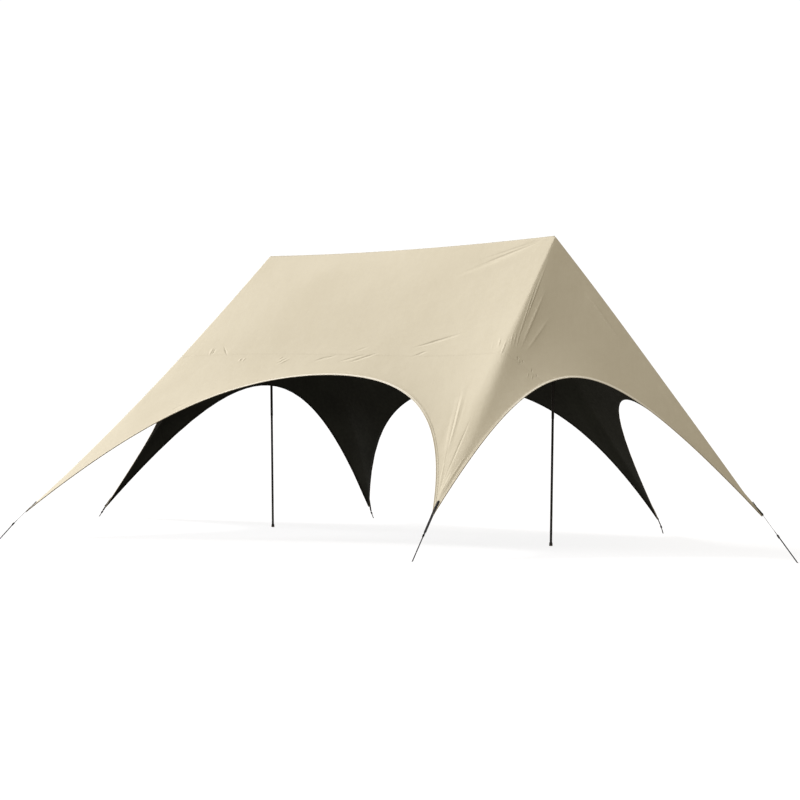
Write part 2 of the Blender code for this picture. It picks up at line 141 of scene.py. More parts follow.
# Fine folds, which are bump because they are finer than the mesh, given in the same way
FINE_FOLDS = {
    ("front", "seam, far left"): [
        (213.5, 346.6, 208.8, 356, 1.5, 5.4), (216.4, 347.2, 212, 356, 1.2, -3.9),
        (223.5, 345.6, 227.8, 356.2, 1.5, -5.4), (245.6, 357.4, 242.2, 361.8, 1, 4.8),
        (242.4, 357.6, 238, 362, 1, 4.8),
    ],
    ("front", "seam, left"): [
        (288.8, 356.4, 274.6, 363.2, 1.1, 5.1), (291.2, 357.8, 276.2, 364.8, 1.1, 5.1),
        (284, 355.8, 277, 359.8, 0.9, 3.6),
    ],
    ("front", "seam, middle"): [
        (331, 355.8, 313, 361.8, 1.2, -5.5), (338.4, 355, 318.4, 360.2, 1.2, -5.5),
        (368.4, 353.8, 335.6, 362.6, 1.3, -5.2), (381.6, 352, 344.6, 364, 1.4, -6),
        (371, 346, 351, 352.8, 1.4, -2.6),
    ],
    ("front", "seam, right"): [
        (468, 332, 410.6, 348.8, 1.8, -5.2), (450, 337.6, 411.2, 348.8, 1.3, -3.1),
        (429.4, 350.6, 410.6, 357.4, 1.3, -4.7),
    ],
    ("front", "from the right peak"): [
        (546.5, 239.2, 473, 268, 1.8, -5.2), (528, 248, 446, 280, 2.6, -2.8),
        (549.5, 237.2, 475, 262, 1.8, -3),
    ],
    ("front", "seam, far right"): [
        (500.8, 336, 497.8, 349, 1.5, 3.1), (507.8, 336.6, 499.2, 358, 1.4, 3.1),
        (493.6, 340.6, 491.4, 350.4, 1.2, 1),
    ],
    ("front", "down the right leg"): [
        (463, 383, 446.3, 456, 1.5, -2.4), (465.7, 383, 448.8, 452, 1.4, 2),
        (470, 380, 452, 448, 2.2, -1.2), (457, 396, 443, 462, 2, 1.2),
        (475, 408, 440.5, 489, 1.3, -2.8), (457.5, 461, 437.8, 499, 1.4, 2.8),
        (447, 466, 437.2, 500, 1.2, -1.2), (456.5, 420, 441.5, 470, 1.4, 1.8),
        (452.5, 431, 443.5, 466, 1.2, -1.6), (446.5, 452, 438.5, 492, 1.2, 1.8),
    ],
    ("front", "at the arch's left end"): [(192.5, 399.8, 166, 412.9, 1.2, -2.6)],
    ("right_front", "beside the left crease"): [
        (549.8, 256, 516.2, 344.5, 1.5, 3.9), (541.5, 271, 518.8, 341, 1.2, -2.4),
        (537.6, 280, 513.8, 351, 1.3, 3.4), (547.5, 286, 518.8, 353, 2, 3.6),
        (552.2, 314, 523.2, 356, 2.3, 2.4),
    ],
    ("right_front", "above the seam"): [
        (513.8, 330, 510, 347.6, 1, 2.1), (517.2, 330, 513, 348.8, 1, 2.1),
        (520.4, 332, 515.8, 349.8, 1, 1.8),
    ],
    ("right_front", "seam"): [
        (517.4, 355.8, 518.6, 360.8, 1, -4.3), (519.8, 360, 521, 365, 1, -4.3),
        (522.6, 359, 523.6, 363.6, 0.9, -3.4), (531.4, 368, 532.6, 373, 1.1, -4.3),
        (536.2, 372.8, 537.6, 377.8, 1.1, -4.3), (528.8, 371.6, 526.8, 379.6, 1, 2.4),
        (533, 374, 531.4, 380.6, 1, 2.4),
    ],
    ("right_front", "down the middle"): [(582, 287, 624, 345, 1.8, 2.4)],
    ("right_front", "down the left leg"): [
        (470.4, 448.6, 442.6, 491, 1.8, 2), (464, 466, 440.6, 498, 1.3, -1.6),
    ],
}

# Bindings. The flat part's outline is in shares of its width and lift.
BINDING_WIDTH = 0.020
BINDING_BEAD = 0.0045
BINDING_LIFT = 0.0010
BINDING_STEPS = 180
BINDING_END_GAP = 0.010
BINDING_ROWS_UP = 4
BINDING_OUTLINE = ((1.0, 0.4), (0.96, 1.0), (0.55, 1.15), (0.30, 1.0))
BEAD_TURN_DEGREES = (50.0, 310.0)
BEAD_POINTS = 11
SHARP_DEGREES = 50.0

# Straps. The droop's end and the loop are in shares of the length, half the outline in shares of its size.
STRAP_WEB = 0.0026
STRAP_STEPS = 90
STRAP_HALF_WIDTH = 0.0138
STRAP_NARROWING = 0.0016
STRAP_ROUND_END = 0.012
STRAP_LEAST = 0.15
STRAP_TAPER_RUN = 0.02
STRAP_TAPER = (0.55, 0.45)
STRAP_DROOP = 0.0036
STRAP_DROOP_END = 0.35
STRAP_SINK = 0.0006
STRAP_MAP_WIDTH = 0.014
LOOP_START = 0.86
LOOP_RUN = 0.06
LOOP_EXTRA = 0.9
STRAP_OUTLINE = ((-1.0, 0.0), (-0.92, 0.8), (-0.5, 1.0), (0.0, 1.0), (0.5, 1.0), (0.92, 0.8))
# A height inside the tent, to tell a strap's outer side by
INSIDE_HEIGHT = 1.0

# Ropes, and the hitch wound round each below its strap
ROPE_RADIUS = 0.0052
ROPE_OVERRUN = 0.02
STRANDS = 3
STRAND_TURN = 0.042
ROPE_RINGS_A_TURN = 22
STRAND_SIDES = 8
HITCH_TURNS = 3.2
HITCH_RINGS = 70
HITCH_START = 0.004
HITCH_END = 0.030
HITCH_LENGTH = 0.026
HITCH_RADIUS = 0.0072
HITCH_STRAND = 0.0024
HITCH_PHASE = 0.4

# Colours, as linear light
CLOTH_LIGHT = (0.634, 0.593, 0.457)
CLOTH_DARK = (0.598, 0.555, 0.420)
# The seam's stitch colour, also used for the painted shade beside its doubled strip
SEAM_THREAD_AND_SHADE = (0.45, 0.40, 0.29)
# The bead's painted highlight, used high up, and its painted shade, used low down
BEAD_HIGHLIGHT = (0.86, 0.83, 0.71)
BEAD_SHADE = (0.44, 0.39, 0.28)
INNER_COLOUR = (0.0230, 0.0250, 0.0200)
INNER_DARK = (0.0115, 0.0120, 0.0100)
WEBBING_COLOUR = (0.006, 0.006, 0.0065)
WEBBING_DUSTY = (0.016, 0.0155, 0.015)
WEBBING_THREAD = (0.03, 0.03, 0.03)
ROPE_COLOUR = (0.008, 0.008, 0.008)
ROPE_DUSTY = (0.030, 0.030, 0.028)
# Pole paint: the upper tube's is lighter than the lower's as a painted reflection, and each has paler patches
# of painted highlight
POLE_COLOUR = (0.013, 0.012, 0.011)
POLE_HIGHLIGHT = (0.026, 0.022, 0.019)
LOWER_POLE_COLOUR = (0.009, 0.009, 0.009)
LOWER_POLE_HIGHLIGHT = (0.017, 0.016, 0.015)
SCUFF_COLOUR = (0.05, 0.046, 0.042)
POLE_DUST = (0.09, 0.08, 0.065)
RUBBER_COLOUR = (0.008, 0.008, 0.008)
FOOT_DUST = (0.12, 0.105, 0.085)

# Studio
FLOOR_DROP = 0.002
STUDIO_RADIUS = 90.0
STUDIO_SIDES = 96
DOME_ROWS = 9


def unit(vector):
    vector = np.asarray(vector, float)
    return vector / norm(vector, axis=-1, keepdims=True)


def smooth(value):
    value = np.clip(value, 0.0, 1.0)
    return value * value * (3.0 - 2.0 * value)


def peak_of(corner):
    side = -1.0 if ANCHORS[corner][0] < 0.0 else 1.0
    return np.array([RIDGE_MIDDLE[0] + side * HALF_RIDGE, RIDGE_MIDDLE[1], PEAK_HEIGHT])


def tip_of(corner):
    """Where the cloth of a leg ends."""
    anchor = np.array([RIDGE_MIDDLE[0] + ANCHORS[corner][0], RIDGE_MIDDLE[1] + ANCHORS[corner][1], 0.0])
    return peak_of(corner) + FABRIC_REACH[corner] * (anchor - peak_of(corner))


def leg_points(corner, share):
    """Points on the crease of a leg, from its peak at 0 to its tip at 1."""
    share = np.asarray(share, float)[..., None]
    skew = LEG_SKEW.get(corner, 0.0)
    bowed = 4.0 * share * (1.0 - share) * (1.0 + skew * (1.0 - 2.0 * share))
    return peak_of(corner) + share * (tip_of(corner) - peak_of(corner)) + bowed * np.array(LEG_BOW[corner])


def tips_of(face):
    return [tip_of(corner) for corner in FACES[face]]


def top_of(face):
    first, second = FACES[face]
    return (peak_of(first) + peak_of(second)) / 2.0


def plane_normal(face):
    start, end = tips_of(face)
    return unit(np.cross((start + end) / 2.0 - top_of(face), end - start))


def arch_lift(face, across):
    """How far up its rise an arch is, from 0 at the tips to 1 at its middle."""
    offset = 2.0 * across - 1.0
    shape = ARCHES[face][2]
    if face in ("front", "back"):
        return 1.0 - (1.0 - shape) * offset ** 2 - shape * offset ** 4
    widest = np.sqrt(1.0 + shape ** 2)
    return (widest - np.sqrt(offset ** 2 + shape ** 2)) / (widest - shape)


def arch_summit(face):
    rise, shift, _, bulge = ARCHES[face]
    start, end = tips_of(face)
    return rise * (top_of(face) - (start + end) / 2.0) + shift * (end - start) + bulge * plane_normal(face)


def arch_points(face, across):
    start, end = tips_of(face)
    return start + across[:, None] * (end - start) + arch_lift(face, across)[:, None] * arch_summit(face)


def width_share(face, across):
    """How far across its face the line of cloth down to each arch point lies."""
    first, second = FACES[face]
    start, end = tips_of(face)
    chord = norm(end - start)
    level = unit(end - start)
    climbed = arch_lift(face, across) * ARCHES[face][0]
    spread = (1.0 - climbed) * chord + climbed * float((peak_of(second) - peak_of(first)) @ level)
    along = across * chord + arch_lift(face, across) * float(arch_summit(face) @ level)
    return (along - climbed * float((peak_of(first) - start) @ level)) / spread


def between_legs(face, share, down):
    first, second = FACES[face]
    return (1.0 - share[..., None]) * leg_points(first, down) + share[..., None] * leg_points(second, down)


def face_grid(face, across, down):
    """A face's points, with a row for each place down it and a column for each along its arch.

    The second result is how far down the legs each point lies."""
    share = width_share(face, across)
    reach = 1.0 - arch_lift(face, across) * ARCHES[face][0]
    sag = RIDGE_SAG if face in ("front", "back") else 0.0
    top = -(4.0 * share * (1.0 - share) * sag)[:, None] * np.array([0.0, 0.0, 1.0])
    edge = arch_points(face, across) - between_legs(face, share, reach)
    level = down[:, None] * reach
    line = between_legs(face, np.broadcast_to(share, level.shape), level)
    dip = FACE_DIP * 4.0 * share * (1.0 - share) * (DIP_SCALE * down ** 2 * (1.0 - down))[:, None]
    points = line + (1.0 - down)[:, None, None] * top + down[:, None, None] * edge
    return points - dip[..., None] * plane_normal(face), level


def crease_gap(grid, corner):
    return norm(grid["points"] - leg_points(corner, grid["level"]), axis=-1)


def read_off(wanted, places, values):
    """Vectors at the wanted places, from those at known ones."""
    return np.stack([np.interp(wanted, places, values[:, axis]) for axis in range(3)], axis=-1)


def spaced(count, *clusters, samples=2001):
    """Places from 0 to 1, closer together round each cluster's middle."""
    fine = np.linspace(0.0, 1.0, samples)
    density = np.ones_like(fine)
    for middle, spread, weight in clusters:
        density += weight * np.exp(-((fine - middle) / spread) ** 2)
    total = np.concatenate([[0.0], np.cumsum((density[1:] + density[:-1]) / 2.0)])
    return np.interp(np.linspace(0.0, 1.0, count + 1), total / total[-1], fine)


def columns_of(face, samples=4001):
    """Places along a face's arch. At the ridge, the back's meet every fourth of the front's."""
    if face in ("front", "back"):
        shares = spaced(COLUMNS["front"], *LONG_CLUSTERS)
        if face == "back":
            shares = 1.0 - shares[::-RIDGE_STEP]
    else:
        shares = spaced(COLUMNS[face], *SHORT_CLUSTERS)
    table = np.linspace(0.0, 1.0, samples)
    across = np.interp(shares, width_share(face, table), table)
    across[0], across[-1] = 0.0, 1.0
    return across


def face_axes(face):
    """The middle of a face's top, its level direction, and the one down its slope."""
    start, end = tips_of(face)
    level = unit(end - start)
    return top_of(face), level, np.cross(level, plane_normal(face))


def crease_at(corner, height, samples=501):
    """The point of a leg's crease at a height."""
    shares = np.linspace(0.0, 1.0, samples)
    line = leg_points(corner, shares)
    return leg_points(corner, np.interp(-height, -line[:, 2], shares))


def seam_gaps(face, points):
    """How far points lie from a face's seam, level on a long face and slanting on a short one."""
    first, second = FACES[face]
    if face in ("front", "back"):
        start, end = crease_at(first, SEAM_HEIGHT), crease_at(second, SEAM_HEIGHT)
    elif second.endswith("_end"):
        start = crease_at(first, SEAM_HEIGHT)
        end = arch_points(face, np.array([SEAM_ARCH_PLACE]))[0]
    else:
        start = crease_at(second, SEAM_HEIGHT)
        end = arch_points(face, np.array([1.0 - SEAM_ARCH_PLACE]))[0]
    return (points - start) @ np.cross(plane_normal(face), unit(end - start))


def camera_axes():
    yaw, pitch = np.radians(YAW_DEGREES), np.radians(PITCH_DEGREES)
    forward = np.array([np.sin(yaw) * np.cos(pitch), np.cos(yaw) * np.cos(pitch), np.sin(pitch)])
    right = np.array([np.cos(yaw), -np.sin(yaw), 0.0])
    return right, np.cross(right, forward), forward


def picture_places(points):
    """Where points fall in the photograph's pixels."""
    right, up, forward = camera_axes()
    away = points - CAMERA_AT
    scale = FOCAL_LENGTH / SENSOR_WIDTH * PIXELS / (away @ forward)
    return PIXELS / 2.0 + scale * (away @ right), PIXELS / 2.0 - scale * (away @ up)


def cloth_place(face, grid, x, y):
    """Where a pixel of the photograph falls on a face's cloth, in metres."""
    right, up, forward = camera_axes()
    scale = FOCAL_LENGTH / SENSOR_WIDTH * PIXELS
    ray = forward + (x - PIXELS / 2.0) / scale * right - (y - PIXELS / 2.0) / scale * up
    top, level, slope = face_axes(face)
    normal = plane_normal(face)
    flat = (grid["points"].reshape(-1, 3) - top) @ np.stack([level, slope, normal], axis=-1)
    lift = 0.0
    for _ in range(PLACING_ROUNDS):
        away = CAMERA_AT + ray * float((top + lift * normal - CAMERA_AT) @ normal) / float(ray @ normal) - top
        found = np.array([away @ level, away @ slope])
        lift = flat[np.argmin(np.sum((flat[:, :2] - found) ** 2, axis=-1)), 2]
    return found


def folds_of(table, face):
    """All the folds of a face, one group after the other."""
    return [fold for (owner, _), folds in table.items() if owner == face for fold in folds]


def fold_heights(face, points):
    """How far the broad folds lift each point of a face."""
    seen = points.copy()
    if face in MIRRORED:
        seen[..., 1] = 2.0 * RIDGE_MIDDLE[1] - seen[..., 1]
    x, y = picture_places(seen)
    heights = np.zeros(x.shape)
    for x0, y0, x1, y1, half_width, millimetres in folds_of(BROAD_FOLDS, MIRRORED.get(face, face)):
        run = np.hypot(x1 - x0, y1 - y0)
        along = ((x - x0) * (x1 - x0) + (y - y0) * (y1 - y0)) / run
        beside = ((x - x0) * (y1 - y0) - (y - y0) * (x1 - x0)) / run
        rise = FOLD_END_SHARE * run
        ends = smooth(along / rise) * smooth((run - along) / rise)
        crest = np.exp(-(beside / half_width) ** 2)
        off_hollow = (beside + HOLLOW_PLACE * half_width) / (HOLLOW_WIDTH * half_width)
        hollow = HOLLOW_DEPTH * np.exp(-off_hollow ** 2)
        heights += MILLIMETRE * millimetres * ends * (crest - hollow)
    return heights


def grid_normals(points, no_length=1e-12, no_area=1e-9):
    fall = np.gradient(points, axis=0)
    along = np.gradient(points, axis=1)
    normal = np.cross(fall, along)
    size = norm(normal, axis=-1)
    normal = normal / np.maximum(size, no_length)[..., None]
    normal[size < no_area] = np.broadcast_to(normal[1], normal.shape)[size < no_area]
    return normal


def rounded(grid, neighbours, corners, down):
    """A face's points with the fold at each of its two creases rounded off."""
    moved = grid["points"].copy()
    for side, corner in zip((0, -1), corners):
        own = grid["normal"][:, side]
        other = neighbours[side]["normal"][:, -1 - side]
        middle = unit(own + other)
        bend = norm(np.cross(own, other), axis=-1) / (1.0 + np.sum(own * other, axis=-1))
        at = read_off(grid["level"], down, middle)
        near, far = CREASE_ROUNDING[corner]
        radius = near + (far - near) * smooth((grid["level"] - ROUNDING_START) / ROUNDING_RUN)
        left_over = np.clip(TIP_END - grid["level"], 0.0, 1.0)
        radius = np.minimum(radius, TIP_SHARE * left_over + TIP_LEAST)
        inside = np.clip(radius - crease_gap(grid, corner), 0.0, None)
        bend = np.interp(grid["level"], down, bend)
        moved -= (bend * inside ** 2 / (2.0 * radius))[..., None] * at
    return moved


def canopy_grids():
    """The outer surface of every face, with rounded creases and folds."""
    down = np.linspace(0.0, 1.0, ROWS + 1)
    grids = {}
    for face in FACE_NAMES:
        points, level = face_grid(face, columns_of(face), down)
        grids[face] = {"points": points, "level": level, "normal": grid_normals(points)}
    for place, face in enumerate(FACE_NAMES):
        grid = grids[face]
        neighbours = {0: grids[FACE_NAMES[place - 1]], -1: grids[FACE_NAMES[(place + 1) % len(FACE_NAMES)]]}
        moved = rounded(grid, neighbours, FACES[face], down)
        edge = norm(grid["points"] - grid["points"][-1:], axis=-1)
        crease = np.min([crease_gap(grid, corner) for corner in FACES[face]], axis=0)
        fade = smooth((edge - FOLD_EDGE_CLEAR) / FOLD_EDGE_FADE)
        lift = fold_heights(face, grid["points"]) * fade * smooth(crease / FOLD_CREASE_FADE)
        grid["final"] = moved + lift[..., None] * grid_normals(moved)
        grid["edge"] = edge
    return grids


def shared_points(grids):
    """One list of points for all the faces, which share creases, ridge and peaks."""
    tables = {}
    count = 2
    legs = {}
    for corner in ANCHORS:
        peak = 0 if ANCHORS[corner][0] < 0.0 else 1
        legs[corner] = np.concatenate([[peak], count + np.arange(ROWS)])
        count += ROWS
    for face in FACE_NAMES:
        table = np.full((ROWS + 1, COLUMNS[face] + 1), -1)
        table[:, 0] = legs[FACES[face][0]]
        table[:, -1] = legs[FACES[face][1]]
        if face == "back":
            table[0] = tables["front"][0, ::-RIDGE_STEP]
        elif face != "front":
            table[0] = table[0, 0]
        free = table == -1
        table[free] = count + np.arange(free.sum())
        count += int(free.sum())
        tables[face] = table
    total = np.zeros((count, 3))
    times = np.zeros(count)
    for face in FACE_NAMES:
        np.add.at(total, tables[face].ravel(), grids[face]["final"].reshape(-1, 3))
        np.add.at(times, tables[face].ravel(), 1.0)
    return tables, total / times[:, None]


def skin_polygons(tables):
    """The outer skin's polygons, and the number of the face that each one is on."""
    polygons, owners = [], []
    for place, face in enumerate(FACE_NAMES):
        table = tables[face]
        first_row = 1
        if face == "front":
            first_row = 0
        elif face == "back":
            ridge = tables["front"][0][::-1]
            for column in range(COLUMNS["back"]):
                between = ridge[column * RIDGE_STEP + 1:(column + 1) * RIDGE_STEP][::-1]
                polygons.append([table[0, column], table[1, column], table[1, column + 1],
                                 table[0, column + 1], *between])
        else:
            for column in range(COLUMNS[face]):
                polygons.append([table[0, 0], table[1, column], table[1, column + 1]])
        body = table[first_row:]
        quads = np.stack([body[:-1, :-1], body[1:, :-1], body[1:, 1:], body[:-1, 1:]], axis=-1)
        polygons += quads.reshape(-1, 4).tolist()
        owners += [place] * (len(polygons) - len(owners))
    return [[int(number) for number in polygon] for polygon in polygons], owners


def put_in_scene(name, data):
    made = bpy.data.objects.new(name, data)
    bpy.context.scene.collection.objects.link(made)
    return made


def make_object(name, points, polygons, materials, smooth_angle=None):
    mesh = bpy.data.meshes.new(name)
    mesh.from_pydata([tuple(point) for point in points], [], polygons)
    for material in materials:
        mesh.materials.append(material)
    mesh.shade_smooth()
    if smooth_angle is not None:
        mesh.set_sharp_from_angle(angle=np.radians(smooth_angle))
    return put_in_scene(name, mesh)


def values_of(items, name, width=1, kind=np.int32):
    """A value or vector of each point, corner or polygon of a mesh."""
    values = np.zeros(len(items) * width, kind)
    items.foreach_get(name, values)
    return values.reshape(-1, width) if width > 1 else values


def add_map(mesh, name, coordinates):
    layer = mesh.uv_layers.new(name=name)
    layer.uv.foreach_set("vector", coordinates.ravel())


def cloth_map(mesh, owners):
    """A map in metres that runs level and down the slope of each face."""
    loops = values_of(mesh.loops, "vertex_index")
    places = values_of(mesh.vertices, "co", 3, np.float32)[loops]
    owner = np.repeat(np.array(owners), values_of(mesh.polygons, "loop_total"))
    coordinates = np.zeros((len(loops), 2), np.float32)
    for place, face in enumerate(FACE_NAMES):
        top, level, slope = face_axes(face)
        mine = owner == place
        away = places[mine] - top
        coordinates[mine] = np.stack([away @ level, away @ slope], axis=-1) + MAP_STEP * place
    add_map(mesh, "Cloth", coordinates)


def point_values(mesh, name, values):
    layer = mesh.attributes.new(name, "FLOAT", "POINT")
    layer.data.foreach_set("value", values.astype(np.float32))


def canopy(grids, outer_look, inner_look):
    """The roof as one closed sheet: an outer and an inner skin joined along the arches."""
    tables, outer = shared_points(grids)
    polygons, owners = skin_polygons(tables)
    skin = bpy.data.meshes.new("outer_skin")
    skin.from_pydata([tuple(point) for point in outer], [], polygons)
    inner = outer - CLOTH_THICK * values_of(skin.vertex_normals, "vector", 3, np.float32)
    bpy.data.meshes.remove(skin)
    count = len(outer)
    inside = shifted([polygon[::-1] for polygon in polygons], count)
    rim, rim_owners = [], []
    for place, face in enumerate(FACE_NAMES):
        line = tables[face][-1]
        for a, b in zip(line[:-1], line[1:]):
            rim.append([int(a), int(a) + count, int(b) + count, int(b)])
            rim_owners.append(place)
    made = make_object("canopy", np.concatenate([outer, inner]), polygons + inside + rim,
                       [outer_look, inner_look])
    mesh = made.data
    slots = np.array([0] * len(polygons) + [1] * len(inside) + [0] * len(rim), np.int32)
    mesh.polygons.foreach_set("material_index", slots)
    cloth_map(mesh, owners + owners + rim_owners)
    edge, crease, seam = (np.full(count, np.inf) for _ in range(3))
    for face in FACE_NAMES:
        grid = grids[face]
        flat = tables[face].ravel()
        np.minimum.at(edge, flat, grid["edge"].ravel())
        seam[flat] = seam_gaps(face, grid["points"]).ravel()
        for corner in FACES[face]:
            np.minimum.at(crease, flat, crease_gap(grid, corner).ravel())
    for name, values in (("edge_gap", edge), ("crease_gap", crease), ("seam_gap", seam)):
        point_values(mesh, name, np.concatenate([values, values]))
    return made


def sweep(line, across, outward, section):
    """Points of a section carried along a line that has two axes at each of its points."""
    section = np.asarray(section, float)
    if section.ndim == 2:
        section = np.broadcast_to(section, (len(line), *section.shape))
    points = line[:, None] + section[..., :1] * across[:, None] + section[..., 1:] * outward[:, None]
    return points.reshape(-1, 3)


def tube_polygons(rings, sides, closed_ends=True):
    polygons = []
    for ring in range(rings - 1):
        for side in range(sides):
            after = (side + 1) % sides
            polygons.append([ring * sides + side, ring * sides + after,
                             (ring + 1) * sides + after, (ring + 1) * sides + side])
    if closed_ends:
        polygons.append(list(range(sides))[::-1])
        polygons.append([(rings - 1) * sides + side for side in range(sides)])
    return polygons


def shifted(polygons, start):
    """Polygons for a piece whose points come after others."""
    return [[number + start for number in polygon] for polygon in polygons]


def swept(name, line, across, outward, section, materials, lengths, rounds):
    """A section carried along a line, with a map in metres along it and round it."""
    rings, sides = len(line), np.shape(section)[-2]
    points = sweep(line, across, outward, section)
    made = make_object(name, points, tube_polygons(rings, sides), materials, SHARP_DEGREES)
    loops = values_of(made.data.loops, "vertex_index")
    ring, side = loops // sides, loops % sides
    coordinates = np.stack([lengths[ring % rings], rounds[side]], axis=-1).astype(np.float32)
    add_map(made.data, "Run", coordinates)
    return made


def line_lengths(line):
    steps = norm(np.diff(line, axis=0), axis=1)
    return np.concatenate([[0.0], np.cumsum(steps)])


def binding(face, grid, outer_look, inner_look):
    """The doubled tape folded over an arch's edge, with a bead along it."""
    edge = grid["final"][-1]
    above = grid["final"][-BINDING_ROWS_UP]
    normal = grid_normals(grid["final"])[-1]
    lengths = line_lengths(edge)
    wanted = np.linspace(BINDING_END_GAP, lengths[-1] - BINDING_END_GAP, BINDING_STEPS)
    line, above, normal = (read_off(wanted, lengths, part) for part in (edge, above, normal))
    along = unit(np.gradient(line, axis=0))
    inward = above - line
    inward = unit(inward - np.sum(inward * along, axis=-1, keepdims=True) * along)
    outward = unit(np.cross(inward, along))
    outward = outward * np.sign(np.sum(outward * normal, axis=-1, keepdims=True))
    bead = BINDING_BEAD
    turn = np.linspace(*np.radians(BEAD_TURN_DEGREES), BEAD_POINTS)
    round_edge = [(-0.5 * bead + bead * np.cos(angle), bead * np.sin(angle)) for angle in turn]
    outer_side = [(place * BINDING_WIDTH, height * BINDING_LIFT) for place, height in BINDING_OUTLINE]
    inner_side = [(place, -height - CLOTH_THICK) for place, height in outer_side[::-1]]
    section = outer_side + round_edge + inner_side
    made = swept(f"binding_{face}", line, inward, outward, section, [outer_look, inner_look],
                 wanted, line_lengths(np.array(section)))
    turned_in = len(outer_side) + BEAD_POINTS // 2
    sides = np.arange(len(made.data.polygons)) % len(section)
    made.data.polygons.foreach_set("material_index", (sides >= turned_in).astype(np.int32))
    return made


def bar_of(node):
    """A CAD bar's ends, upper one first, and its three axes, the longest first."""
    places = np.array([vertex.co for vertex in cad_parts[node].data.vertices], float)
    middle = places.mean(0)
    axes = np.linalg.svd(places - middle, full_matrices=False)[2]
    axes[0] *= -np.sign(axes[0][2])
    along = (places - middle) @ axes[0]
    sideways = [(places - middle) @ axis for axis in axes[1:]]
    centre = middle + sum((side.max() + side.min()) / 2.0 * axis for side, axis in zip(sideways, axes[1:]))
    return centre + along.min() * axes[0], centre + along.max() * axes[0], axes


def strap(corner, material):
    """A leg's webbing, which lies over the crease and ends in a sewn loop for the rope."""
    top, bottom, axes = bar_of(f"strap_{corner}")
    down, _, outward = axes
    if outward @ (top - np.array([*RIDGE_MIDDLE, INSIDE_HEIGHT])) < 0.0:
        outward = -outward
    beside = np.cross(outward, down)
    share = np.linspace(0.0, 1.0, STRAP_STEPS)
    length = norm(bottom - top)
    line = top + share[:, None] * (bottom - top)
    half = STRAP_HALF_WIDTH - STRAP_NARROWING * smooth(share)
    off_end = 1.0 - np.minimum(share * length / STRAP_ROUND_END, 1.0)
    half = half * np.sqrt(np.clip(1.0 - off_end ** 2, STRAP_LEAST, 1.0))
    narrowest, gain = STRAP_TAPER
    half = half * (narrowest + gain * smooth((1.0 - share) * length / STRAP_TAPER_RUN))
    droop = STRAP_DROOP * (1.0 - smooth(share / STRAP_DROOP_END))
    thick = STRAP_WEB * (1.0 + LOOP_EXTRA * smooth((share - LOOP_START) / LOOP_RUN)) / 2.0
    outline = np.array(STRAP_OUTLINE)
    outline = np.concatenate([outline, -outline])
    section = np.zeros((STRAP_STEPS, len(outline), 2))
    section[..., 0] = half[:, None] * outline[:, 0]
    section[..., 1] = thick[:, None] * outline[:, 1] - droop[:, None] * outline[:, 0] ** 2 - STRAP_SINK
    beside, outward = (np.broadcast_to(axis, line.shape) for axis in (beside, outward))
    return swept(f"webbing_{corner}", line, beside, outward, section, [material], share * length,
                 np.abs(outline[:, 0]) * STRAP_MAP_WIDTH)


def strand_points(line, across, outward, lengths, phase, radius, strand, turn_length):
    """One strand wound round a line."""
    angle = 2.0 * np.pi * lengths / turn_length + phase
    centre = line + radius * (np.cos(angle)[:, None] * across + np.sin(angle)[:, None] * outward)
    tangent = unit(np.gradient(centre, axis=0))
    side = unit(centre - line)
    side = unit(side - np.sum(side * tangent, axis=-1, keepdims=True) * tangent)
    other = np.cross(tangent, side)
    turn = np.linspace(0.0, 2.0 * np.pi, STRAND_SIDES, endpoint=False)
    section = [(strand * np.cos(a), strand * np.sin(a)) for a in turn]
    return sweep(centre, side, other, section)


def rope(corner, material):
    """A laid rope of three strands, hitched below the strap and cut off level at the ground."""
    top, bottom, _ = bar_of(f"rope_{corner}")
    down = unit(bottom - top)
    across = unit(np.cross(down, [0.0, 0.0, 1.0]))
    outward = np.cross(down, across)
    length = norm(bottom - top)
    strand = ROPE_RADIUS / (1.0 + 2.0 / np.sqrt(3.0))
    rings = int(length / STRAND_TURN * ROPE_RINGS_A_TURN)
    laid = np.linspace(0.0, length + ROPE_OVERRUN, rings)
    hitched = np.linspace(HITCH_START, HITCH_END, HITCH_RINGS)
    windings = [(laid, laid, 2.0 * np.pi * number / STRANDS, ROPE_RADIUS - strand, strand, STRAND_TURN)
                for number in range(STRANDS)]
    windings.append((hitched, hitched - HITCH_START, HITCH_PHASE, HITCH_RADIUS, HITCH_STRAND,
                     HITCH_LENGTH / HITCH_TURNS))
    points, polygons = [], []
    for places, *winding in windings:
        polygons += shifted(tube_polygons(len(places), STRAND_SIDES), sum(len(part) for part in points))
        points.append(strand_points(top + places[:, None] * down, across, outward, *winding))
    points = np.concatenate(points)
    points[:, 2] = np.maximum(points[:, 2], 0.0)
    return make_object(f"laid_rope_{corner}", points, polygons, [material])


